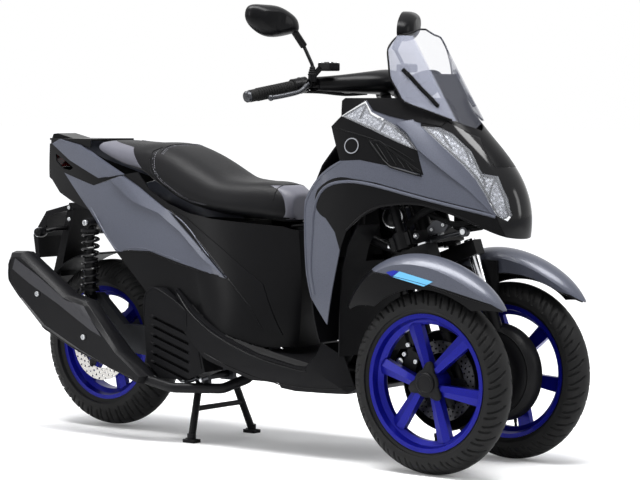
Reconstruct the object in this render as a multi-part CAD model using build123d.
from build123d import *
import os
from math import cos, radians, sin, tan

# Leaning three-wheel scooter with two steered wheels in front.
# Millimetres. +X forward, +Y to the rider's left, +Z up, ground at Z = 0.
# X = 0 is the middle of the overall length, Y = 0 the plane of symmetry.

# ---------------------------------------------------------------- driving dimensions
WHEELBASE = 1350.0
TRACK = 385.0
FRONT_AXLE_X = 697.0
REAR_AXLE_X = FRONT_AXLE_X - WHEELBASE
FRONT_TYRE_R = 250.0
FRONT_TYRE_W = 90.0
FRONT_BEAD_R = 178.0
REAR_TYRE_R = 256.0
REAR_TYRE_W = 130.0
REAR_BEAD_R = 165.0
REAR_LIFT = 6.0
FRONT_AXLE_Z = FRONT_TYRE_R
REAR_AXLE_Z = REAR_TYRE_R + REAR_LIFT
WHEEL_Y = TRACK / 2

CASTER = 20.0
STEER_GROUND_X = 765.0
KINGPIN_Y = 112.0
TUBE_SPREAD = 39.4

RUN_GAP = 0.3
SEAT_GAP = 0.3
WALL = 4.0
PANEL_GAP = 0.6
PANEL_REACH = 320.0

COWL_REAR_X = 262.0
GRIP_END_Y = 375.0

os.makedirs("parts", exist_ok=True)


# ---------------------------------------------------------------- small helpers
def save(name, *solids):
    """Write one sub-part; several solids go in one compound."""
    pieces = []
    for item in solids:
        pieces.extend(item.solids())
    shape = pieces[0] if len(pieces) == 1 else Compound(children=pieces)
    shape.label = name
    export_step(shape, f"parts/{name}.step")


def left_of(shape):
    """The same shape on the left side."""
    return mirror(shape, about=Plane.XZ)


def fuse(*shapes):
    """One solid from shapes that overlap."""
    result = shapes[0]
    for item in shapes[1:]:
        result = result + item
    return result


def outline(start, *moves, y=0.0):
    """Closed face in an X-Z plane. A move is a point, or a pair of points for an arc through the first."""
    here = Vector(start[0], y, start[1])
    edges = []
    for move in (*moves, start):
        if isinstance(move[0], tuple):
            via, end = move
            goal = Vector(end[0], y, end[1])
            edges.append(ThreePointArc(here, Vector(via[0], y, via[1]), goal))
        else:
            goal = Vector(move[0], y, move[1])
            if (goal - here).length < 0.01:
                continue
            edges.append(Line(here, goal))
        here = goal
    return make_face(edges)


def prism(face_points, y0, y1):
    """An X-Z outline pushed from y0 to y1."""
    face = outline(face_points[0], *face_points[1:], y=y0)
    return extrude(face, amount=y1 - y0, dir=(0, 1, 0))


def rod(start, end, radius):
    """Round bar between two points."""
    start, end = Vector(*start), Vector(*end)
    return Solid.make_cylinder(radius, (end - start).length, Plane(start, z_dir=end - start))


def pipe(points, radius, bends):
    """Round bar along straight runs joined by arcs of the given radii."""
    path = FilletPolyline(*points, radius=bends, close=False)
    start = Vector(*points[0])
    section = Plane(start, z_dir=Vector(*points[1]) - start) * Circle(radius)
    return sweep(section, path=path)


def block(x0, x1, y0, y1, z0, z1):
    """Box between corners."""
    return Pos((x0 + x1) / 2, (y0 + y1) / 2, (z0 + z1) / 2) * Box(x1 - x0, y1 - y0, z1 - z0)


def turned(points, centre=(0, 0, 0)):
    """Revolve an (r, y) profile about the axle direction Y. A pair of points is an arc."""
    here = Vector(points[0][0], points[0][1], 0)
    start, edges = here, []
    for move in (*points[1:], points[0]):
        if isinstance(move[0], tuple):
            via, end = move
            goal = Vector(end[0], end[1], 0)
            edges.append(ThreePointArc(here, Vector(via[0], via[1], 0), goal))
        else:
            goal = Vector(move[0], move[1], 0)
            if (goal - here).length < 0.01:
                continue
            edges.append(Line(here, goal))
        here = goal
    return Pos(*centre) * revolve(make_face(edges), axis=Axis.Y)


# ---------------------------------------------------------------- steering geometry
UP = Vector(-sin(radians(CASTER)), 0, cos(radians(CASTER)))
AHEAD = Vector(cos(radians(CASTER)), 0, sin(radians(CASTER)))


def steer_point(z, ahead=0.0, y=0.0):
    """Point beside the steering axis: z is the height on the axis, ahead is square to it."""
    base = Vector(STEER_GROUND_X - z * tan(radians(CASTER)), y, z)
    return base + AHEAD * ahead


def steer_plane(z, ahead=0.0, y=0.0):
    """Plane square to the steering axis, its x direction pointing ahead."""
    return Plane(steer_point(z, ahead, y), x_dir=AHEAD, z_dir=UP)


def steer_rod(z0, z1, radius, ahead=0.0, y=0.0):
    """Round bar along the steering direction between two heights of the axis."""
    return rod(steer_point(z0, ahead, y), steer_point(z1, ahead, y), radius)


AXLE_AHEAD = (FRONT_AXLE_X - STEER_GROUND_X + FRONT_AXLE_Z * tan(radians(CASTER))) * cos(radians(CASTER))
AXLE_LEVEL = FRONT_AXLE_Z - AXLE_AHEAD * sin(radians(CASTER))


# ---------------------------------------------------------------- wheels
FRONT_RIM_W = 68.0
REAR_RIM_W = 92.0
RIM_LIP = 10.0
FRONT_DISC_R = 110.0
REAR_DISC_R = 115.0
DISC_T = 4.0
FRONT_HUB_R = 34.0
REAR_HUB_R = 40.0
AXLE_R = 9.0
SPOKE_PAIRS = 3
SPOKE_PAIR_TURN = 78.0
SPOKE_SPREAD = 31.0
DISC_INSET = 43.0


def tyre(radius, width, bead_r, rim_w):
    """Hollow carcass with a round crown, standing on the rim's bead seats."""
    side_r = radius - 0.42 * width
    half = width / 2
    foot = rim_w / 2 - RIM_LIP / 2
    wall = 9.0
    seat = bead_r + SEAT_GAP
    lip = bead_r + RIM_LIP + SEAT_GAP
    return turned([
        (seat, -foot), (lip, -foot), (lip + 4, -foot - 4), (side_r, -half), ((radius, 0), (side_r, half)),
        (lip + 4, foot + 4), (lip, foot), (seat, foot), (seat, foot - 12),
        (side_r - 4, half - wall), ((radius - wall - 3, 0), (side_r - 4, wall - half)), (seat, 12 - foot),
    ])


def spoke(turn, root_r, tip_r, face_y, out):
    """Cast arm from the hub to the rim with a raised ridge on its outer face."""
    arm = []
    # columns: radius, half width, depth of the flanks, height of the ridge, shift of the face
    for r, half, depth, ridge, shift in ((root_r, 13, 26, 7, 0), (tip_r, 22, 15, 6, 10)):
        edge = face_y - out * shift
        arm.append(Polyline(
            (r, edge - out * depth, -half), (r, edge, -half), (r, edge + out * ridge, 0),
            (r, edge, half), (r, edge - out * depth, half), close=True,
        ))
    return Rot(0, -turn, 0) * loft([make_face(loop) for loop in arm], ruled=True)


def rim(bead_r, rim_w, hub_r, hub_half, face_y, out, bore_r):
    """Cast wheel: dropped barrel with lips, six arms in three pairs and a bored hub."""
    half = rim_w / 2
    seat = half - RIM_LIP / 2
    barrel = turned([
        (bead_r + RIM_LIP, -half), (bead_r + RIM_LIP, -seat - 0.5), (bead_r, -seat - 0.5), (bead_r, 14 - seat),
        (bead_r - 14, 20 - seat), (bead_r - 14, seat - 20), (bead_r, seat - 14), (bead_r, seat + 0.5),
        (bead_r + RIM_LIP, seat + 0.5), (bead_r + RIM_LIP, half), (bead_r - 2, half), (bead_r - 7, seat - 12),
        (bead_r - 20, seat - 22), (bead_r - 20, 22 - seat), (bead_r - 7, 12 - seat), (bead_r - 2, -half),
    ])
    hub = turned([(bore_r, -hub_half), (bore_r, hub_half), (hub_r, hub_half), (hub_r, -hub_half)])
    shape = barrel + hub
    for pair in range(SPOKE_PAIRS):
        middle = SPOKE_PAIR_TURN + pair * 360 / SPOKE_PAIRS
        for side in (-1, 1):
            tip = Vector(bead_r - 12, 0).rotate(Axis.Z, side * SPOKE_SPREAD)
            root = Vector(hub_r - 4, 0).rotate(Axis.Z, side * 10)
            lean = (tip - root).get_angle(Vector(1, 0, 0)) * side
            arm = spoke(0, 0, (tip - root).length, face_y, out)
            placed = Pos(root.X, 0, root.Y) * Rot(0, -lean, 0) * arm
            shape = shape + Rot(0, -middle, 0) * placed
    return shape


def disc(radius, hub_r, y):
    """Brake disc with a carrier that reaches the hub."""
    half = DISC_T / 2
    ring = turned([(radius - 34, y - half), (radius, y - half), (radius, y + half), (radius - 34, y + half)])
    carrier = turned([(hub_r + SEAT_GAP, y - half), (radius - 34, y - half), (radius - 34, y + half), (hub_r + SEAT_GAP, y + half)])
    return ring + carrier


def front_wheel(side, out):
    """Tyre, rim and disc of one front wheel; out is -1 on the right and +1 on the left."""
    centre = (FRONT_AXLE_X, out * WHEEL_Y, FRONT_AXLE_Z)
    place = Pos(*centre)
    save(f"tyre_front_{side}", place * tyre(FRONT_TYRE_R, FRONT_TYRE_W, FRONT_BEAD_R, FRONT_RIM_W))
    wheel = rim(FRONT_BEAD_R, FRONT_RIM_W, FRONT_HUB_R, 30, out * 20, out, AXLE_R + RUN_GAP)
    hub_back = turned([
        (AXLE_R + RUN_GAP, -out * 46), (FRONT_HUB_R, -out * 46), (FRONT_HUB_R, -out * 28), (AXLE_R + RUN_GAP, -out * 28),
    ])
    save(f"rim_front_{side}", place * (wheel + hub_back))
    save(f"disc_front_{side}", place * disc(FRONT_DISC_R, FRONT_HUB_R, -out * DISC_INSET))


front_wheel("right", -1)
front_wheel("left", 1)

rear_place = Pos(REAR_AXLE_X, 0, REAR_AXLE_Z)
REAR_DISC_Y = -62.0
save("tyre_rear", rear_place * tyre(REAR_TYRE_R, REAR_TYRE_W, REAR_BEAD_R, REAR_RIM_W))
save("rim_rear", rear_place * rim(REAR_BEAD_R, REAR_RIM_W, REAR_HUB_R, 66, -26, -1, AXLE_R + RUN_GAP))
save("disc_rear", rear_place * disc(REAR_DISC_R, REAR_HUB_R, REAR_DISC_Y))


# ---------------------------------------------------------------- front suspension and steering
SPINDLE_R = 13.0
SLEEVE_R = 25.0
ARM_LEVELS = (622.0, 738.0)
ARM_SPREAD = 33.0
ARM_T = 10.0
ARM_H = 36.0
SLEEVE_H = 44.0
POST_R = 24.0
PIVOT_PIN_R = 11.0
YOKE_TOP = 592.0
YOKE_BOTTOM = 552.0
INNER_TUBE_R = 16.5
SLIDER_R = 21.0
SLIDER_TOP = 430.0
SHROUD_Y = 84.0
SHROUD_R = 138.0
STEER_ARM_LEVEL = 806.0
STEER_ARM_T = 12.0
STEER_ARM_REACH = 62.0
TIE_PIN_R = 6.0
TIE_ROD_R = 9.0
COLUMN_R = 15.0
HEAD_TUBE_R = 27.0
HEAD_BOTTOM = 836.0
HEAD_TOP = 960.0


def steer_slab(level, thick, points):
    """Plate square to the steering axis; points are (ahead, y) corners."""
    plane = steer_plane(level)
    corners = [plane.origin + AHEAD * a + Vector(0, w, 0) for a, w in points]
    face = make_face(Polyline(*corners, close=True))
    return extrude(face, amount=thick, dir=UP)


def steer_arm(level, y):
    """Arm that points ahead from the steering axis and carries a pin for the tie rod."""
    arm = steer_slab(level, STEER_ARM_T, [
        (0, y - 15), (STEER_ARM_REACH, y - 10), (STEER_ARM_REACH + 10, y), (STEER_ARM_REACH, y + 10), (0, y + 15),
        (-15, y + 6), (-15, y - 6),
    ])
    pin = steer_rod(level + STEER_ARM_T - 2, level + STEER_ARM_T + 24, TIE_PIN_R, STEER_ARM_REACH, y)
    return arm + pin


def tilt_arm(level):
    """Front and rear links of one storey with a sleeve at each end for the steering spindles."""
    shape = None
    for ahead in (-ARM_SPREAD, ARM_SPREAD):
        plane = steer_plane(level - ARM_H / 2 * cos(radians(CASTER)), ahead)
        link = plane * Pos(0, 0, ARM_H / 2) * Box(ARM_T, 2 * KINGPIN_Y + 20, ARM_H)
        hole = Plane(steer_point(level, ahead - ARM_T), z_dir=AHEAD) * Pos(0, 0, ARM_T) * Cylinder(
            PIVOT_PIN_R + RUN_GAP, 3 * ARM_T)
        link = link - hole
        shape = link if shape is None else shape + link
    for y in (-KINGPIN_Y, KINGPIN_Y):
        bridge = steer_plane(level - ARM_H / 2 * cos(radians(CASTER)), 0, y) * Pos(0, 0, ARM_H / 2) * Box(
            2 * ARM_SPREAD, 30, ARM_H)
        shape = shape + bridge + steer_rod(level - SLEEVE_H / 2, level + SLEEVE_H / 2, SLEEVE_R, 0, y)
    for y in (-KINGPIN_Y, KINGPIN_Y):
        shape = shape - steer_rod(level - SLEEVE_H, level + SLEEVE_H, SPINDLE_R + RUN_GAP, 0, y)
    return shape


save("tilt_arms", *[tilt_arm(level) for level in ARM_LEVELS])


def yoke(out):
    """Steered yoke: spindle, lower bridge over the two fork tubes and the steering arm."""
    y = out * KINGPIN_Y
    front, back = AXLE_AHEAD + TUBE_SPREAD, AXLE_AHEAD - TUBE_SPREAD
    bridge = steer_slab(YOKE_BOTTOM, (YOKE_TOP - YOKE_BOTTOM) / cos(radians(CASTER)), [
        (back - 24, y - 20), (back - 10, y - 26), (front + 10, y - 26), (front + 24, y - 20),
        (front + 24, y + 20), (front + 10, y + 26), (back - 10, y + 26), (back - 24, y + 20),
    ])
    for ahead in (front, back):
        bridge = bridge - steer_rod(YOKE_BOTTOM - 5, YOKE_TOP - (0 if ahead == front else 12) + 5,
                                    INNER_TUBE_R + SEAT_GAP, ahead, y)
    spindle = steer_rod(YOKE_TOP - 1, STEER_ARM_LEVEL + 4, SPINDLE_R, 0, y)
    return bridge + spindle + steer_arm(STEER_ARM_LEVEL, y)


def fork_lowers(out):
    """Two sliders side by side along the wheel, joined by the axle casting with its stub axle."""
    y = out * KINGPIN_Y
    shape = None
    for side in (-1, 1):
        ahead = AXLE_AHEAD + side * TUBE_SPREAD
        leg = steer_rod(AXLE_LEVEL - 34, SLIDER_TOP, SLIDER_R, ahead, y)
        leg = leg - steer_rod(AXLE_LEVEL + 60, SLIDER_TOP + 1, INNER_TUBE_R + SEAT_GAP, ahead, y)
        collar = steer_rod(SLIDER_TOP - 14, SLIDER_TOP, SLIDER_R + 4, ahead, y)
        collar = collar - steer_rod(SLIDER_TOP - 20, SLIDER_TOP + 1, INNER_TUBE_R + SEAT_GAP, ahead, y)
        leg = leg + collar
        shape = leg if shape is None else shape + leg
    plane = steer_plane(AXLE_LEVEL, AXLE_AHEAD, y)
    casting = plane * Box(2 * TUBE_SPREAD, 2 * SLIDER_R - 6, 74)
    stub = rod((FRONT_AXLE_X, y, FRONT_AXLE_Z), (FRONT_AXLE_X, out * (WHEEL_Y + 27), FRONT_AXLE_Z), AXLE_R)
    boss = rod((FRONT_AXLE_X, y, FRONT_AXLE_Z), (FRONT_AXLE_X, out * (WHEEL_Y - 48), FRONT_AXLE_Z), 26)
    stay = prism([(612, 440), (688, 452), (684, 562), (634, 562)], out * (KINGPIN_Y + SLIDER_R - 3),
                 out * (FENDER_MID_Y - 54 - SEAT_GAP))
    return shape + casting + stub + boss + stay


def axle_shroud(out):
    """Domed cover on the inner side of the axle casting, cut out for the sliders."""
    y = out * SHROUD_Y
    dome = turned([
        (0, y), (70, y), ((112, y + out * 7), (132, y + out * 30)), (SHROUD_R, y + out * 53), (SHROUD_R - 3, y + out * 53),
        (129, y + out * 31), ((110, y + out * 10), (69, y + out * 3)), (0, y + out * 3),
    ], (FRONT_AXLE_X, 0, FRONT_AXLE_Z))
    for side in (-1, 1):
        ahead = AXLE_AHEAD + side * TUBE_SPREAD
        dome = dome - steer_rod(AXLE_LEVEL - 60, SLIDER_TOP, SLIDER_R + SEAT_GAP, ahead, out * KINGPIN_Y)
    return dome


# angle round the axle from +X, crown radius, half width, lower edge radius inboard and outboard
FENDER_SECTIONS = (
    (41, 318, 10, 311, 309),
    (60, 325, 43, 288, 226),
    (82, 337, 51, 281, 172),
    (104, 354, 54, 281, 176),
    (124, 356, 52, 291, 236),
    (143, 338, 38, 318, 312),
)
FENDER_T = 3.0
FENDER_MID_Y = WHEEL_Y + 2.0


def fender_block(out, inset):
    """Closed solid of a front fender with its skirt, moved inwards by inset."""
    loops = []
    for turn, crown, half, low_in, low_out in FENDER_SECTIONS:
        drop = 24 if inset else 0
        lean = Vector(cos(radians(turn)), 0, sin(radians(turn)))

        def at(r, w):
            return Vector(FRONT_AXLE_X, out * FENDER_MID_Y, FRONT_AXLE_Z) + lean * r + Vector(0, out * w, 0)

        shoulder = crown - 0.5 * half - inset
        side = half - inset
        loops.append(make_face([
            Line(at(low_in - drop, -side), at(shoulder, -side)),
            ThreePointArc(at(shoulder, -side), at(crown - inset, 0), at(shoulder, side)),
            Line(at(shoulder, side), at(low_out - drop, side)),
            Line(at(low_out - drop, side), at(low_in - drop, -side)),
        ]))
    return loft(loops)


TYRE_ROOM = 5.0
FENDER_PAINT = prism([(960, 440), (906, 474), ((739, 516), (536, 546)), (470, 560), (470, 640), (960, 640)],
                     -PANEL_REACH, PANEL_REACH)


def caliper(out):
    """Brake caliper behind the axle, straddling the disc."""
    y = out * (WHEEL_Y - DISC_INSET)
    inner, outer = out * (KINGPIN_Y + SLIDER_R + SEAT_GAP), y + out * 21
    centre = Vector(FRONT_AXLE_X - 92, (inner + outer) / 2, FRONT_AXLE_Z + 38)
    body = Plane(centre, x_dir=Vector(-0.92, 0, 0.38), z_dir=Vector(0, 1, 0)) * Box(46, 84, abs(outer - inner))
    slot = turned([(0, y - 4.5), (FRONT_DISC_R + 4, y - 4.5), (FRONT_DISC_R + 4, y + 4.5), (0, y + 4.5)],
                  (FRONT_AXLE_X, 0, FRONT_AXLE_Z))
    return body - slot


for side, out in (("right", -1), ("left", 1)):
    y = out * KINGPIN_Y
    tubes = []
    for side_ahead, top in ((1, YOKE_TOP + 6), (-1, YOKE_TOP - 10)):
        ahead = AXLE_AHEAD + side_ahead * TUBE_SPREAD
        tubes.append(steer_rod(AXLE_LEVEL + 64, top, INNER_TUBE_R, ahead, y))
    save(f"fork_tubes_{side}", *tubes)
    save(f"fork_{side}", yoke(out), fork_lowers(out), axle_shroud(out), caliper(out))
    shell = fender_block(out, 0) - fender_block(out, FENDER_T)
    tyre_room = rod((FRONT_AXLE_X, out * (WHEEL_Y - 60), FRONT_AXLE_Z), (FRONT_AXLE_X, out * (WHEEL_Y + 60), FRONT_AXLE_Z),
                    FRONT_TYRE_R + TYRE_ROOM)
    save(f"fender_{side}", shell & FENDER_PAINT)
    save(f"fender_skirt_{side}", (shell - FENDER_PAINT) - tyre_room)

TIE_LEVEL = STEER_ARM_LEVEL + STEER_ARM_T + 10
tie_start = steer_point(TIE_LEVEL, STEER_ARM_REACH, -KINGPIN_Y)
tie_end = steer_point(TIE_LEVEL, STEER_ARM_REACH, KINGPIN_Y)
tie_rod = rod(tie_start, tie_end, TIE_ROD_R)
for y in (-KINGPIN_Y, 0, KINGPIN_Y):
    tie_rod = tie_rod + steer_rod(TIE_LEVEL - 8, TIE_LEVEL + 8, 13, STEER_ARM_REACH, y)
for y in (-KINGPIN_Y, 0, KINGPIN_Y):
    clearance = 1.0 if y else RUN_GAP
    tie_rod = tie_rod - steer_rod(TIE_LEVEL - 20, TIE_LEVEL + 20, TIE_PIN_R + clearance, STEER_ARM_REACH, y)
save("tie_rod", tie_rod)


# ---------------------------------------------------------------- handlebar
BAR_R = 11.0
GRIP_R = 17.0
BAR_LEVEL = 1045.0
BAR_STRAIGHT = 46.0
GRIP_INNER = (258.0, 246.0, 1046.0)
GRIP_OUTER = (208.0, GRIP_END_Y, 1020.0)


def bar_points(out):
    """Right or left half of the handlebar's centre line."""
    inner, outer = Vector(*GRIP_INNER), Vector(*GRIP_OUTER)
    bend = inner - (outer - inner).normalized() * BAR_STRAIGHT
    clamp = steer_point(BAR_LEVEL + 8)
    return [
        (clamp.X, 0, clamp.Z), (clamp.X - 8, out * 70, clamp.Z + 4), (bend.X, out * bend.Y, bend.Z),
        (outer.X, out * outer.Y, outer.Z),
    ]


def handlebar():
    """Column, clamp, bar and the steering arm under the head tube."""
    column = steer_rod(STEER_ARM_LEVEL + 2, BAR_LEVEL + 6, COLUMN_R)
    hub = steer_rod(BAR_LEVEL - 22, BAR_LEVEL + 26, 26)
    shape = column + hub + steer_arm(STEER_ARM_LEVEL, 0)
    for out in (-1, 1):
        shape = shape + pipe(bar_points(out), BAR_R, [60, 60])
    return shape


def grip(out):
    """Rubber grip with a bar-end weight."""
    inner = Vector(GRIP_INNER[0], out * GRIP_INNER[1], GRIP_INNER[2])
    outer = Vector(GRIP_OUTER[0], out * GRIP_OUTER[1], GRIP_OUTER[2])
    body = rod(inner, outer, GRIP_R)
    return body - rod(inner - (outer - inner), outer + (outer - inner) * 0.2, BAR_R + SEAT_GAP)


save("handlebar", handlebar())
save("grips", grip(-1), grip(1))


# ---------------------------------------------------------------- frame
TUBE_R = 19.0
LEG_HIGH = (346.0, 60.0, 700.0)
LEG_LOW = (350.0, 100.0, 430.0)
RISE_LOW = (-30.0, 110.0, 470.0)
RAIL_LOW = (-250.0, 112.0, 530.0)
RAIL_HIGH = (-656.0, 84.0, 706.0)
CROSS_ROD_X, CROSS_ROD_Z, CROSS_ROD_R = 349.0, 400.0, 13.0
SHOCK_TOP = (-634.0, 636.0)
SHOCK_FOOT = (-640.0, 408.0)
SHOCK_Y = 126.0
SHOCK_BOLT_R = 6.0
SPRING_R = 26.0


def tube_room(start, end, out):
    """Space around a straight run of a main tube for a saddle that seats on it."""
    return rod((start[0], out * start[1], start[2]), (end[0], out * end[1], end[2]), TUBE_R + SEAT_GAP)


def frame():
    """Tubular backbone with the head tube, tilt post, engine hangers and seat rails."""
    head = steer_rod(HEAD_BOTTOM, HEAD_TOP, HEAD_TUBE_R) - steer_rod(HEAD_BOTTOM - 9, HEAD_TOP + 9, COLUMN_R + RUN_GAP)
    low, high = ARM_LEVELS
    post = steer_rod(low - 76, high + 58, POST_R)
    for level in ARM_LEVELS:
        middle = steer_point(level)
        post = post + rod(middle - AHEAD * (ARM_SPREAD + 14), middle + AHEAD * (ARM_SPREAD + 14), PIVOT_PIN_R)
    shape = post + head
    brace_top = steer_point(HEAD_BOTTOM + 40, -HEAD_TUBE_R + 4)
    brace_low = steer_point(low - 62, -POST_R + 4)
    brace_high = steer_point(high + 42, -POST_R + 4)
    for out in (-1, 1):
        main = pipe([
            (brace_top.X, out * 12, brace_top.Z), (LEG_HIGH[0], out * LEG_HIGH[1], LEG_HIGH[2]),
            (LEG_LOW[0], out * LEG_LOW[1], LEG_LOW[2]), (345, out * 112, 300),
            (296, out * 115, 225), (60, out * 112, 225), (RISE_LOW[0], out * RISE_LOW[1], RISE_LOW[2]),
            (RAIL_LOW[0], out * RAIL_LOW[1], RAIL_LOW[2]), (RAIL_HIGH[0], out * RAIL_HIGH[1], RAIL_HIGH[2]),
        ], TUBE_R, [60, 60, 60, 50, 60, 60, 90])
        strut = rod((brace_low.X, out * 10, brace_low.Z), (338, out * 66, 640), 14)
        upper = rod((brace_high.X, out * 10, brace_high.Z), (352, out * 56, 722), 14)
        hanger = rod((SHOCK_TOP[0], out * 86, 700), (SHOCK_TOP[0], out * 86, SHOCK_TOP[1]), 13)
        bolt = rod((SHOCK_TOP[0], out * 80, SHOCK_TOP[1]), (SHOCK_TOP[0], out * (SHOCK_Y + 24), SHOCK_TOP[1]), SHOCK_BOLT_R)
        shape = shape + main + strut + upper + hanger + bolt
    for x, y, z, r in ((90, 112, 225, 15), (-452, 98, 618, 13), (CROSS_ROD_X, 102, CROSS_ROD_Z, CROSS_ROD_R)):
        shape = shape + rod((x, -y, z), (x, y, z), r)
    return shape - steer_rod(HEAD_BOTTOM - 20, HEAD_TOP + 20, COLUMN_R + RUN_GAP)


SIDE_PIVOT = Vector(90, 142, 176)
SIDE_AXIS = Vector(0.0092, 0.8898, 0.4561)
SIDE_PIN_R = 5.0
SIDE_BOSS_R = 13.0
SIDE_BOSS_HALF = 14.0
side_pin = rod(SIDE_PIVOT - SIDE_AXIS * 28, SIDE_PIVOT + SIDE_AXIS * 19, SIDE_PIN_R)
side_bracket = rod((90, 110, 225), SIDE_PIVOT - SIDE_AXIS * 28 - Vector(0, 0, 3), 8)
save("frame", frame() + side_bracket + side_pin)


# ---------------------------------------------------------------- engine and rear suspension
DRIVE_Y0, DRIVE_Y1 = 72.0, 150.0
SWING_ARM_Y = -88.0
STAND_X, STAND_Z = -240.0, 186.0
STAND_TUBE_R = 11.0
STAND_FOOT_X = STAND_X + 24
STAND_FOOT_Y = 138.0


def engine():
    """Crankcase, cylinder, cooling fan housing and the right arm that holds the rear axle."""
    case = prism([(-368, 250), (-376, 330), (-350, 400), (-290, 420), (-175, 390), (-150, 300), (-215, 215), (-330, 210)],
                 -96, 66)
    cylinder = prism([(-200, 385), (-60, 352), (-36, 262), (-180, 262)], -62, 62)
    arm = prism([(-360, 235), (-380, 330), (-520, 330), (-625, 420), (-655, 420), (-655, 300), (-690, 275),
                 (-682, 236), (-640, 226), (-540, 250)], SWING_ARM_Y - 14, SWING_ARM_Y + 14)
    bolt = rod((SHOCK_FOOT[0], SWING_ARM_Y, SHOCK_FOOT[1]), (SHOCK_FOOT[0], -SHOCK_Y - 24, SHOCK_FOOT[1]), SHOCK_BOLT_R)
    lugs = block(STAND_X - 26, STAND_X + 26, -64, -50, STAND_Z - 18, 240)
    lugs = lugs + block(STAND_X - 26, STAND_X + 26, 50, 64, STAND_Z - 18, 240)
    shape = case + cylinder + arm + bolt + lugs
    return shape - rod((STAND_X, -90, STAND_Z), (STAND_X, 90, STAND_Z), STAND_TUBE_R + RUN_GAP)


def drive_case():
    """Long transmission cover on the left that carries the rear axle and the left shock mount."""
    body = prism([
        (-215, 230), ((-180, 310), (-235, 380)), (-420, 372), (-610, 340), ((-735, 280), (-650, 190)), (-420, 210),
    ], DRIVE_Y0, DRIVE_Y1)
    ear = prism([(-600, 320), (-622, 424), (-658, 424), (-670, 320)], DRIVE_Y0, DRIVE_Y0 + 30)
    bolt = rod((SHOCK_FOOT[0], DRIVE_Y0 + 10, SHOCK_FOOT[1]), (SHOCK_FOOT[0], SHOCK_Y + 24, SHOCK_FOOT[1]), SHOCK_BOLT_R)
    return body + ear + bolt


REAR_AXLE = ((REAR_AXLE_X, SWING_ARM_Y - 24, REAR_AXLE_Z), (REAR_AXLE_X, DRIVE_Y0 + 40, REAR_AXLE_Z))
axle_pin = rod(*REAR_AXLE, AXLE_R)
save("engine", engine() + axle_pin)
save("drive_case", drive_case() - rod(*REAR_AXLE, AXLE_R + SEAT_GAP))



def shock(out):
    """Spring and damper unit: two eyes, damper body, and a spring drawn as stacked rings."""
    top = Vector(SHOCK_TOP[0], out * SHOCK_Y, SHOCK_TOP[1])
    foot = Vector(SHOCK_FOOT[0], out * SHOCK_Y, SHOCK_FOOT[1])
    axis = (top - foot).normalized()
    damper = rod(foot, top, 11) + rod(foot + axis * 8, foot + axis * 120, 19)
    for end in (foot, top):
        damper = damper + rod(end - Vector(0, 17, 0), end + Vector(0, 17, 0), 15)
    seat_low, seat_high = foot + axis * 24, top - axis * 24
    for at in (seat_low, seat_high):
        damper = damper + rod(at - axis * 4, at + axis * 4, SPRING_R + 4)
    for end in (foot, top):
        damper = damper - rod(end - Vector(0, 40, 0), end + Vector(0, 40, 0), SHOCK_BOLT_R + SEAT_GAP)
    return damper


save("rear_shocks", shock(-1), shock(1))


# ---------------------------------------------------------------- front body shells
# z, rear half width, (x, half width) at the flank, (x, half width) at the shoulder, nose x
FRONT_SECTIONS = (
    (300, 200, 480, 188, 760, 100, 862),
    (650, 222, 500, 200, 800, 90, 868),
    (850, 214, 480, 188, 745, 78, 800),
    (960, 200, 470, 165, 640, 80, 692),
    (1016, 184, 450, 148, 585, 82, 656),
)
# z, tail x, half width, (x, half width) at the haunch, (x, half width) at the hip,
# (x, half width) at the knee, (x, half width) at the front
REAR_SECTIONS = (
    (290, -560, 120, -400, 155, -200, 166, 20, 158, 132, 70),
    (520, -700, 92, -450, 147, -200, 158, 0, 138, 140, 64),
    (640, -820, 76, -560, 133, -260, 154, -70, 134, 128, 62),
    (760, -878, 56, -600, 119, -300, 142, -100, 124, 112, 56),
    (890, -886, 46, -600, 104, -300, 120, -100, 108, 96, 44),
)


def front_block(inset):
    """Closed solid of the front fairing, moved inwards by inset."""
    loops = []
    for z, rear_w, flank_x, flank_w, shoulder_x, shoulder_w, nose_x in FRONT_SECTIONS:
        a, b = (COWL_REAR_X - inset, rear_w - inset), (flank_x, flank_w - inset)
        c, d = (shoulder_x - inset * 0.7, shoulder_w - inset * 0.8), (nose_x - inset, 0)
        right = ThreePointArc((a[0], -a[1], z), (b[0], -b[1], z), (c[0], -c[1], z))
        nose = ThreePointArc((c[0], -c[1], z), (d[0], 0, z), (c[0], c[1], z))
        left = ThreePointArc((c[0], c[1], z), (b[0], b[1], z), (a[0], a[1], z))
        back = Line((a[0], a[1], z), (a[0], -a[1], z))
        loops.append(make_face([right, nose, left, back]))
    return loft(loops)


def rear_block(inset):
    """Closed solid of the rear bodywork, moved inwards by inset."""
    loops = []
    for z, tail_x, tail_w, haunch_x, haunch_w, hip_x, hip_w, knee_x, knee_w, front_x, front_w in REAR_SECTIONS:
        a, b, c = (tail_x + inset, tail_w - inset), (haunch_x, haunch_w - inset), (hip_x, hip_w - inset)
        d, e = (knee_x, knee_w - inset), (front_x - inset, front_w - inset * 0.8)
        edges = []
        for out in (-1, 1):
            edges.append(ThreePointArc((a[0], out * a[1], z), (b[0], out * b[1], z), (c[0], out * c[1], z)))
            edges.append(ThreePointArc((c[0], out * c[1], z), (d[0], out * d[1], z), (e[0], out * e[1], z)))
        edges.append(Line((e[0], -e[1], z), (e[0], e[1], z)))
        edges.append(Line((a[0], a[1], z), (a[0], -a[1], z)))
        loops.append(make_face(edges))
    return loft(loops)


front_shell = front_block(0) - front_block(WALL)
rear_shell = rear_block(0) - rear_block(WALL)


def sheet(points, thick, half_width):
    """Sheet bent along an X-Z line, its thickness to the left of the line's direction."""
    upper = []
    for i, (x, z) in enumerate(points):
        before = Vector(*points[max(i - 1, 0)])
        after = Vector(*points[min(i + 1, len(points) - 1)])
        run = (after - before).normalized()
        upper.append((x - run.Y * thick, z + run.X * thick))
    return prism(list(points) + upper[::-1], -half_width, half_width)


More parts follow.
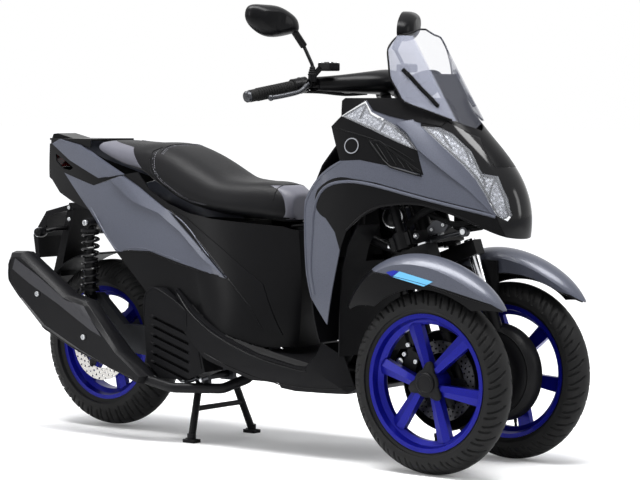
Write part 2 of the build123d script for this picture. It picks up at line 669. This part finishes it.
def shrunk(points):
    """Outline prism across the whole width, drawn in by half the gap between panels."""
    face = outline(points[0], *points[1:], y=-PANEL_REACH)
    inner = Face(face.face().outer_wire().offset_2d(-PANEL_GAP / 2, kind=Kind.INTERSECTION))
    return extrude(inner, amount=2 * PANEL_REACH, dir=(0, 1, 0))


RIGHT_HALF = block(-1100, 1100, -PANEL_REACH, -PANEL_GAP / 2, 0, 1300)

# outlines seen from the right, (x, z)
ARCH_INNER = [(400, 597), (382, 646), (350, 684), ((314, 722), (320, 761)), ((362, 790), (425, 795)),
              (503, 784), (632, 751), (778, 715)]
COWL = [
    (390, 843), ((325, 800), (276, 728)), ((277, 640), (288, 522)), (308, 458), (360, 388), (378, 485),
    *ARCH_INNER, (824, 700), (787, 760), (765, 793), (728, 832), (601, 939), (593, 977), (534, 998), (440, 1008),
    (465, 977), (536, 942), (572, 915), (607, 873), (632, 806), (567, 825), (450, 846),
]
LINER = [*ARCH_INNER, (824, 700), (846, 640), (785, 666), (717, 698), ((622, 726), (517, 716)), (463, 689),
         (419, 650)]
LAMP = [(601, 939), (645, 936), (681, 919), (739, 871), (777, 812), (814, 805), (844, 747), (856, 700), (848, 684),
        (824, 700), (787, 760), (765, 793), (728, 832)]
NOSE = [(593, 977), (659, 953), (738, 908), (800, 829), (900, 829), (900, 625), (846, 640), (824, 700),
        (848, 684), (856, 700), (844, 747), (814, 805), (777, 812), (739, 871), (681, 919), (645, 936), (601, 939)]
SIDE_LAMP = [(380, 966), (440, 1008), (465, 977), (536, 942), (572, 915), (607, 873), (553, 894), (468, 932)]
INTAKE = [(390, 843), (354, 937), (380, 966), (468, 932), (553, 894), (607, 873), (632, 806), (567, 825), (450, 846)]
GARNISH = [(380, 966), (372, 1008), (380, 1016), (700, 1016), (900, 829), (800, 829), (738, 908), (659, 953),
           (593, 977), (534, 998), (440, 1008)]

cowl = (front_shell & shrunk(COWL)) & RIGHT_HALF
save("front_cowls", cowl, left_of(cowl))
save("arch_liners", front_shell & shrunk(LINER))
lamp = (front_shell & shrunk(LAMP)) & RIGHT_HALF
side_lamp = (front_shell & shrunk(SIDE_LAMP)) & RIGHT_HALF
save("headlamps", lamp, left_of(lamp), side_lamp, left_of(side_lamp))
intake = (front_shell & shrunk(INTAKE)) & RIGHT_HALF
save("intake_panels", intake, left_of(intake))
save("nose_cover", front_shell & shrunk(NOSE))

# ---------------------------------------------------------------- windscreen
SCREEN_T = 4.0
SCREEN_CREASE_Y = 67.0
SCREEN_TOP = (524.0, 1207.0)
SCREEN_FOOT = (702.0, 926.0)
SCREEN_TIP_Z = 930.0
# height, x and half width of the outer edge of the side facets
SCREEN_EDGE = ((953, 676, 72), (1004, 560, 136), (1072, 522, 149), (1147, 508, 143), (1187, 512, 104))


def screen_x(z):
    """Front face of the middle facet at a height."""
    along = (z - SCREEN_FOOT[1]) / (SCREEN_TOP[1] - SCREEN_FOOT[1])
    return SCREEN_FOOT[0] + (SCREEN_TOP[0] - SCREEN_FOOT[0]) * along


def windscreen():
    """Clear sheet with a flat middle facet between two creases and side facets that wrap back."""
    crease = SCREEN_CREASE_Y
    top, foot = SCREEN_EDGE[-1][0], SCREEN_EDGE[0][0]
    corners = [(top, crease), (SCREEN_TOP[1], 14), (SCREEN_TOP[1], -14), (top, -crease), (foot, -crease),
               (SCREEN_TIP_Z, 0), (foot, crease)]
    face = make_face(Polyline(*[Vector(screen_x(z), y, z) for z, y in corners], close=True))
    shape = extrude(face, amount=SCREEN_T, dir=(-1, 0, 0))
    strips = []
    for z, edge_x, edge_y in SCREEN_EDGE:
        x = screen_x(z)
        strips.append(make_face(Polyline(
            (x, -crease + 1, z), (edge_x, -edge_y, z), (edge_x - SCREEN_T, -edge_y + 0.5, z), (x - SCREEN_T, -crease + 1, z),
            close=True)))
    wing = loft(strips, ruled=True)
    return shape + wing + left_of(wing)


def screen_room():
    """Everything in front of the back of the screen, up to the screen's outer edge."""
    back = SCREEN_T + SEAT_GAP
    loops = []
    for z, crease, edge_x, edge_y in ((SCREEN_TIP_Z - 4, 1, 700, 2), *[
            (z, SCREEN_CREASE_Y, x, max(y, SCREEN_CREASE_Y + 5)) for z, x, y in SCREEN_EDGE]):
        half = [(screen_x(z) - back, -crease), (edge_x - back, -edge_y - SEAT_GAP), (1100, -edge_y - SEAT_GAP)]
        corners = half + [(x, -y) for x, y in half[::-1]]
        loops.append(make_face(Polyline(*[Vector(x, y, z) for x, y in corners], close=True)))
    return loft(loops, ruled=True)


save("windscreen", windscreen())
VISOR_LINE = [(738, 905), (690, 924), (592, 1082)]
visor = sheet(VISOR_LINE, WALL, 62) - (front_block(-60) - front_block(WALL + SEAT_GAP))
save("upper_cowl", (front_shell & shrunk(GARNISH)) - screen_room(), visor)

# ---------------------------------------------------------------- leg shield, wheel wells and floor
SHIELD_T = 4.0
FLOOR_T = 5.0
BELT_LINE = [(-250, 452), (-176, 388), (-49, 325), (88, 281), (225, 256), (262, 256), (300, 290), (318, 330)]
BELLY_LINE = [(372, 296), (402, 205), (380, 190), (300, 186), (190, 184), (60, 200), (-120, 262), (-230, 345)]


PLAN = [(-262, 168), (-100, 198), (190, 206), (300, 196), (402, 150)]


def plan_prism(inset, z0, z1):
    """Floor outline seen from above, pushed between two heights."""
    right = [Vector(x, -(y - inset), z0) for x, y in PLAN]
    left = [Vector(v.X, -v.Y, z0) for v in right[::-1]]
    return extrude(make_face(Polyline(*right, *left, close=True)), amount=z1 - z0, dir=(0, 0, 1))


def belly_block(inset):
    """Closed solid under the floor, tapered towards the ground."""
    low, high = 180, 470
    half = [(150 - inset, low), (196 - inset, 250), (210 - inset, 330), (210 - inset, high)]
    corners = [(-y, z) for y, z in half] + half[::-1]
    section = make_face(Polyline(*[Vector(-300, y, z) for y, z in corners], close=True))
    bathtub = extrude(section, amount=760, dir=(1, 0, 0))
    side_view = [(x, z + inset) for x, z in BELLY_LINE]
    return prism(BELT_LINE + side_view, -230, 230) & bathtub & plan_prism(inset, 100, 500)


belly = belly_block(0) - belly_block(WALL) - block(-400, 140, -167, 167, 100, 600)
save("side_skirts", belly)
floor = sheet([(x, z + 0.3) for x, z in BELT_LINE], FLOOR_T, 230) & plan_prism(2, 100, 500)
save("floorboard", (floor - rear_block(-SEAT_GAP)) - block(-300, 60, -128, 128, 200, 600))

SHIELD_LINE = [(322, 336), (308, 420), (295, 520), (286, 640), (290, 740), (330, 830), (384, 900), (398, 960)]
shield = sheet(SHIELD_LINE, -SHIELD_T, 230) & front_block(WALL + SEAT_GAP)
shield = shield - steer_rod(900, 1100, 34)
for out in (-1, 1):
    stud = rod((292, out * 80, 560), (340, out * 80, 560), 9)
    shield = shield + (stud - tube_room(LEG_HIGH, LEG_LOW, out))
save("inner_shield", shield)
WELL_LINE = [(373, 297), (376, 420), (384, 540), (404, 610), (440, 668)]
well = sheet(WELL_LINE, -SHIELD_T, 190)
well = well - block(380, 470, -92, 92, 560, 700)
for out in (-1, 1):
    stud = rod((CROSS_ROD_X, out * 60, CROSS_ROD_Z), (377, out * 60, CROSS_ROD_Z), 8)
    well = well + (stud - rod((CROSS_ROD_X, -100, CROSS_ROD_Z), (CROSS_ROD_X, 100, CROSS_ROD_Z), CROSS_ROD_R + SEAT_GAP))
save("wheel_well", well)

# ---------------------------------------------------------------- rear bodywork
SIDE_PANEL = [(-94, 513), (-65, 493), (-238, 530), (-366, 561), (-457, 560), (-518, 552), (-649, 673), (-793, 784),
              (-632, 749), (-496, 783), (-419, 750), (-287, 679), (-171, 586)]
GRAB_RAIL = [(-862, 873), (-820, 888), (-713, 871), (-496, 785), (-604, 772), (-760, 824)]
RIDGE = [(-282, 684), (-58, 497), (58, 352), (105, 336), (50, 482), (-84, 577), (-226, 667)]
HAND_SLOT = [(-850, 842), (-792, 822), (-745, 800), (-762, 792), (-800, 796), (-842, 818)]
CENTRE = [(148, 632), (110, 638), (84, 646), (-9, 653), (-136, 664), (-220, 679), (-288, 700), (-376, 742), (-433, 794),
          (-496, 785), (-419, 750), (-287, 679), (-171, 586), (-94, 513), (-65, 493), (-238, 530), (-366, 561),
          (-457, 560), (-518, 552), (-482, 523), (-388, 444), (-199, 370), (-49, 334), (60, 300), (148, 300)]
TAIL = [(-930, 873), (-862, 873), (-760, 824), (-604, 772), (-496, 785), (-632, 749), (-793, 784), (-649, 673),
        (-739, 696), (-813, 722), (-862, 760), (-930, 790)]

RAIL_PROUD, RAIL_DEEP = 7.0, 10.0
paint = (rear_shell & shrunk(SIDE_PANEL)) & RIGHT_HALF
save("tail_panels", paint, left_of(paint))
rail = ((rear_block(-RAIL_PROUD) - rear_block(RAIL_DEEP)) & shrunk(GRAB_RAIL)) & RIGHT_HALF
save("grab_rails", rail, left_of(rail))
SEAT_HINGE = (92.0, 646.0)
SEAT_LUG_Y = 34.0
SEAT_PIN_R = 4.0
hinge_x, hinge_z = SEAT_HINGE
centre_panel = rear_shell & prism(CENTRE, -PANEL_REACH, PANEL_REACH)
lug_room = block(hinge_x - 14, hinge_x + 14, -50, 50, hinge_z - 14, hinge_z + 30)
hinge_web = block(hinge_x - 6, hinge_x + 2, -22, 22, hinge_z - 28, hinge_z + 1)
hinge_foot = block(hinge_x - 6, 150, -22, 22, hinge_z - 28, hinge_z - 19) & rear_block(WALL / 2)
hinge_pin = rod((hinge_x, -48, hinge_z), (hinge_x, 48, hinge_z), SEAT_PIN_R)
centre_panel = (centre_panel - lug_room) + hinge_foot + hinge_web + hinge_pin
for out in (-1, 1):
    stud = rod((-110, out * 105, 492), (-110, out * 190, 492), 8) & rear_block(WALL / 2)
    centre_panel = centre_panel + (stud - tube_room(RISE_LOW, RAIL_LOW, out))
ridge = ((rear_block(-3) - rear_block(-SEAT_GAP)) & prism(RIDGE, -PANEL_REACH, PANEL_REACH)) & RIGHT_HALF
save("body_centre", centre_panel, ridge, left_of(ridge))
lamp_place = block(-940, -880, -40, 40, 800, 862)
lamp_room = block(-940, -860, -40 - SEAT_GAP, 40 + SEAT_GAP, 800 - SEAT_GAP, 862 + SEAT_GAP)
tail = (rear_shell & prism(TAIL, -PANEL_REACH, PANEL_REACH)) - lamp_room
for out in (-1, 1):
    tail = tail - prism(HAND_SLOT, out * 30, out * 160)
deck = rear_block(0) & prism([(-930, 884), (-930, 900), (-660, 900), (-660, 884)], -160, 160)
rail_room = rear_block(-RAIL_PROUD - SEAT_GAP) - rear_block(RAIL_DEEP + SEAT_GAP)
deck = deck - (rail_room & prism(GRAB_RAIL, -PANEL_REACH, PANEL_REACH))
lip = prism([(-884, 886), (-876, 903), (-858, 905), (-790, 890), (-790, 886)], -40, 40)
save("tail_cover", tail, deck + lip)
save("tail_lamp", rear_block(0) & lamp_place)

# ---------------------------------------------------------------- seat, tub, rails and tail
SEAT_TOP = [(104, 735), (86, 752), (57, 767), (5, 777), (-76, 778), (-147, 785), (-207, 816), (-279, 851), (-346, 876),
            (-408, 884), (-470, 881), (-629, 889), (-652, 880)]
SEAT_BASE = [(104, 660), (84, 652), (-9, 659), (-136, 670), (-220, 685), (-288, 706), (-376, 748), (-440, 792),
             (-496, 796), (-520, 806), (-600, 836), (-652, 858)]
SEAT_PLAN = [(104, 52), (60, 92), (-60, 126), (-250, 146), (-420, 132), (-600, 108), (-652, 84)]
SEAT_STATIONS = (104, 86, 57, 5, -76, -147, -207, -279, -346, -408, -470, -560, -629, -652)


def along(line, x):
    """Value of a line of (x, value) points at x; the line runs from front to rear."""
    for (x0, v0), (x1, v1) in zip(line, line[1:]):
        if x1 <= x <= x0:
            return v0 + (v1 - v0) * (x0 - x) / (x0 - x1)
    return line[-1][1]


def seat():
    """Stepped saddle with a crowned top, lofted through cross-sections from front to rear."""
    sections = []
    for x in SEAT_STATIONS:
        top, low, half = along(SEAT_TOP, x), along(SEAT_BASE, x), along(SEAT_PLAN, x)
        drop, lift = min(38, (top - low) * 0.6), min(6, (top - low) * 0.2)
        side = [(half * 0.5, top), (half - 22, top - drop * 0.2), (half - 6, top - drop * 0.55), (half, top - drop),
                (half - 2, low + lift), (half - 10, low)]
        loop = [Vector(x, -y, z) for y, z in side] + [Vector(x, y, z) for y, z in side[::-1]]
        sections.append(make_face(Polyline(*loop, close=True)))
    return loft(sections, ruled=True)


def seat_hinge_knuckles():
    """Two bored lugs under the front edge of the seat."""
    hx, hz = SEAT_HINGE
    lugs = None
    for y in (-SEAT_LUG_Y, SEAT_LUG_Y):
        lug = rod((hx, y - 8, hz), (hx, y + 8, hz), 9) + block(hx - 9, hx + 9, y - 8, y + 8, hz, hz + 16)
        lugs = lug if lugs is None else lugs + lug
    return lugs


hinge_bore = rod((hinge_x, -80, hinge_z), (hinge_x, 80, hinge_z), SEAT_PIN_R + RUN_GAP)
save("seat", (seat() + seat_hinge_knuckles()) - hinge_bore)

TUB_X0, TUB_X1, TUB_Y, TUB_Z0, TUB_Z1 = -400.0, -90.0, 80.0, 545.0, 655.0
tub = block(TUB_X0, TUB_X1, -TUB_Y, TUB_Y, TUB_Z0, TUB_Z1) - block(
    TUB_X0 + WALL, TUB_X1 - WALL, -TUB_Y + WALL, TUB_Y - WALL, TUB_Z0 + WALL, TUB_Z1 + 1)
for out in (-1, 1):
    lug = block(-322, -302, min(out * (TUB_Y - 1), out * 112), max(out * (TUB_Y - 1), out * 112), 562, 586)
    tub = tub + (lug - tube_room(RAIL_LOW, RAIL_HIGH, out))
save("storage_tub", tub)


# ---------------------------------------------------------------- rear mudguard, radiator cover and exhaust
PLATE_PCD = 110.0
PLATE_HOLE_R = 3.5
flap = prism([(-690, 690), (-760, 690), (-879, 662), (-937, 586), (-926, 515), (-910, 515), (-917, 580), (-867, 648),
              (-760, 674), (-690, 674)], -70, 70)
plate_middle, plate_normal = Vector(-908, 0, 624), Vector(-0.795, 0, 0.607)
for y in (-PLATE_PCD / 2, PLATE_PCD / 2):
    hole = plate_middle + Vector(0, y, 0)
    flap = flap - rod(hole - plate_normal * 40, hole + plate_normal * 40, PLATE_HOLE_R)
for out in (-1, 1):
    tab = block(-690, -650, min(out * 60, out * 96), max(out * 60, out * 96), 674, 704)
    flap = flap + (tab - tube_room(RAIL_LOW, RAIL_HIGH, out))
guard = turned([(275, -80), (279, -80), (279, 80), (275, 80)], (REAR_AXLE_X, 0, REAR_AXLE_Z))
guard = guard & prism([(-640, 480), (-640, 560), (-780, 560), (-960, 470), (-860, 400), (-760, 460)], -90, 90)
save("rear_mudguard", fuse(flap, guard, prism([(-860, 470), (-790, 690), (-765, 690), (-830, 460)], -60, 60)))

radiator = prism([(-371, 416), (-351, 455), (-295, 455), (-170, 376), (-127, 218), (-200, 190), (-352, 188)], -180, -98)
for k in range(6):
    z = 216 + 27 * k
    radiator = radiator - prism([(-330, z + 12), (-330, z + 22), (-190, z - 22), (-190, z - 32)], -190, -170)
muffler_room = prism([(-440, 190), (-330, 164), (-308, 196), (-415, 276), (-440, 276)], -190, -160)
save("radiator_cover", (radiator - rear_block(-SEAT_GAP)) - belly_block(-SEAT_GAP) - muffler_room)

MUFFLER_Y0, MUFFLER_Y1 = -246.0, -166.0
MUFFLER = [(-872, 548), (-892, 506), (-887, 449), (-838, 395), (-733, 300), (-578, 241), (-436, 202), (-330, 172),
           (-318, 196), (-419, 268), (-543, 412), (-628, 428), (-819, 550)]
MUFFLER_SPINE = ((-820, 480), (-350, 192))
# distance from the outer face, size of the outline there
MUFFLER_LAYERS = ((0, 0.70), (12, 0.88), (34, 0.95), (60, 0.90), (80, 0.66))


def muffler_layer(y, scale):
    """Side outline of the muffler drawn in towards its spine."""
    (x0, z0), (x1, z1) = MUFFLER_SPINE
    loop = []
    for x, z in MUFFLER:
        part = ((x - x0) * (x1 - x0) + (z - z0) * (z1 - z0)) / ((x1 - x0) ** 2 + (z1 - z0) ** 2)
        part = min(max(part, 0), 1)
        foot_x, foot_z = x0 + (x1 - x0) * part, z0 + (z1 - z0) * part
        loop.append(Vector(foot_x + (x - foot_x) * scale, y, foot_z + (z - foot_z) * scale))
    return make_face(Polyline(*loop, close=True))


muffler = loft([muffler_layer(MUFFLER_Y0 + depth, scale) for depth, scale in MUFFLER_LAYERS], ruled=True)
header = pipe([(-60, -30, 268), (-64, -50, 196), (-110, -120, 166), (-240, -196, 166), (-336, -206, 186)], 15,
              [30, 40, 60])
save("exhaust", muffler + (header - engine()))

# ---------------------------------------------------------------- stands


def centre_stand():
    """Cross tube, two splayed legs with feet flat on the ground, and a foot lever on the left."""
    shape = rod((STAND_X, -78, STAND_Z), (STAND_X, 78, STAND_Z), STAND_TUBE_R)
    for out in (-1, 1):
        shape = shape + rod((STAND_X, out * 72, STAND_Z), (STAND_FOOT_X, out * STAND_FOOT_Y, 12), STAND_TUBE_R)
        shape = shape + block(STAND_FOOT_X - 22, STAND_FOOT_X + 22, out * STAND_FOOT_Y - 15, out * STAND_FOOT_Y + 15, 0, 10)
        shape = shape + rod((STAND_FOOT_X, out * STAND_FOOT_Y, 4), (STAND_FOOT_X, out * STAND_FOOT_Y, 26), 13)
    return shape + rod((STAND_X + 12, -104, 96), (STAND_X + 12, 104, 96), 8)


save("centre_stand", centre_stand())

side_foot = SIDE_PIVOT + Vector(-178, 8, -12)
side_boss = rod(SIDE_PIVOT - SIDE_AXIS * SIDE_BOSS_HALF, SIDE_PIVOT + SIDE_AXIS * SIDE_BOSS_HALF, SIDE_BOSS_R)
side_leg = rod(SIDE_PIVOT, side_foot, 9) + side_boss
side_leg = side_leg + block(side_foot.X - 30, side_foot.X + 8, side_foot.Y - 14, side_foot.Y + 14,
                            side_foot.Z - 5, side_foot.Z + 5)
side_bore = rod(SIDE_PIVOT - SIDE_AXIS * 40, SIDE_PIVOT + SIDE_AXIS * 40, SIDE_PIN_R + RUN_GAP)
save("side_stand", side_leg - side_bore)

# ---------------------------------------------------------------- handlebar fittings


MIRROR_STEM_R = 5.0
MIRROR_BOSS = Vector(300, 214, 1068)
MIRROR_INNER = Vector(268, 210, 0)
MIRROR_RUN = Vector(-0.39, 0.921, 0)
MIRROR_MIDDLE = (104.0, 1229.0)
# outline of the glass side: distance outwards along the mirror, height
MIRROR_EDGE = [(30, 1196), (67, 1187), (118, 1184), (161, 1204), (185, 1240), (178, 1264), (135, 1272), (89, 1268),
               (47, 1248), (24, 1218)]


def mirror_slice(out, scale, ahead):
    """Rounded outline of the mirror's head, shrunk about its middle and moved forward."""
    loop = []
    for along, z in MIRROR_EDGE:
        u = MIRROR_MIDDLE[0] + (along - MIRROR_MIDDLE[0]) * scale
        v = MIRROR_MIDDLE[1] + (z - MIRROR_MIDDLE[1]) * scale
        point = MIRROR_INNER + MIRROR_RUN * u + Vector(0.921, 0.39, 0) * ahead
        loop.append(Vector(point.X, out * point.Y, v))
    return make_face(Spline(*loop, periodic=True))


def mirror_head(out):
    """Stem, neck and shell of a mirror, recessed for the glass."""
    neck_foot = MIRROR_INNER + MIRROR_RUN * 2 + Vector(0, 0, 1160)
    neck_top = MIRROR_INNER + MIRROR_RUN * 48 + Vector(12, 5, 1212)
    stem = pipe([(MIRROR_BOSS.X, out * MIRROR_BOSS.Y, MIRROR_BOSS.Z), (MIRROR_BOSS.X, out * MIRROR_BOSS.Y, 1106),
                 (neck_foot.X, out * neck_foot.Y, neck_foot.Z), (neck_top.X, out * neck_top.Y, neck_top.Z)],
                MIRROR_STEM_R, [24, 24])
    neck = rod((neck_foot.X, out * neck_foot.Y, neck_foot.Z), (neck_top.X, out * neck_top.Y, neck_top.Z), 10)
    shell = loft([mirror_slice(out, 1.0, 0), mirror_slice(out, 0.97, 16), mirror_slice(out, 0.55, 44)])
    recess = loft([mirror_slice(out, 0.93, -1), mirror_slice(out, 0.93, GLASS_T)])
    glass = loft([mirror_slice(out, 0.925, 1), mirror_slice(out, 0.925, GLASS_T - SEAT_GAP)])
    return stem + neck + shell - recess, glass


GLASS_T = 4.0
mirrors, glasses = zip(*[mirror_head(out) for out in (-1, 1)])
save("mirrors", *mirrors)
save("mirror_glass", *glasses)


def cover_half(out):
    """Half of the handlebar cover: ovals that shrink outwards along the bar."""
    ovals = []
    for y, x, z, half_x, half_z in COVER_OVALS:
        ovals.append(Plane((x, out * y, z), x_dir=(1, 0, 0), z_dir=(0, 1, 0)) * Ellipse(half_x, half_z))
    return loft(ovals)


# distance from the middle, centre x and z, half length and half height
COVER_OVALS = ((0, 390, 1060, 50, 36), (70, 380, 1058, 44, 31), (140, 330, 1055, 34, 24), (196, 290, 1054, 24, 20))
cover = cover_half(-1) + cover_half(1)
cover = cover - steer_rod(900, 1200, 27)
for out in (-1, 1):
    cover = cover - pipe(bar_points(out), BAR_R + SEAT_GAP, [60, 60])
save("handlebar_cover", cover)


def control(out):
    """Switch housing, brake lever and mirror boss on one side of the bar."""
    inner = Vector(GRIP_INNER[0], out * GRIP_INNER[1], GRIP_INNER[2])
    axis = (Vector(GRIP_OUTER[0], out * GRIP_OUTER[1], GRIP_OUTER[2]) - inner).normalized()
    body = rod(inner - axis * 40, inner - axis * 1, 22)
    lever = pipe([inner - axis * 20 + Vector(30, 0, 4), inner + axis * 20 + Vector(44, 0, -10), inner + axis * 112 + Vector(44, 0, -10)], 6, [20])
    arm = rod(inner - axis * 20, inner - axis * 20 + Vector(34, 0, 5), 12)
    boss = rod((300, out * 214, 1060), (300, out * 214, 1080), 12) + rod((300, out * 214, 1064), inner - axis * 30, 10)
    near, far = sorted((out * 160, out * 205))
    reservoir = fillet(block(310, 356, near, far, 1090, 1113).edges(), 4)
    shape = body + arm + lever + boss + reservoir + rod((300, out * 213, 1074), (318, out * 202, 1098), 8)
    shape = shape - rod((300, out * 214, 1068 - SEAT_GAP), (300, out * 214, 1110), MIRROR_STEM_R + SEAT_GAP)
    return shape - pipe(bar_points(out), BAR_R + SEAT_GAP, [60, 60])


save("controls", control(-1), control(1))
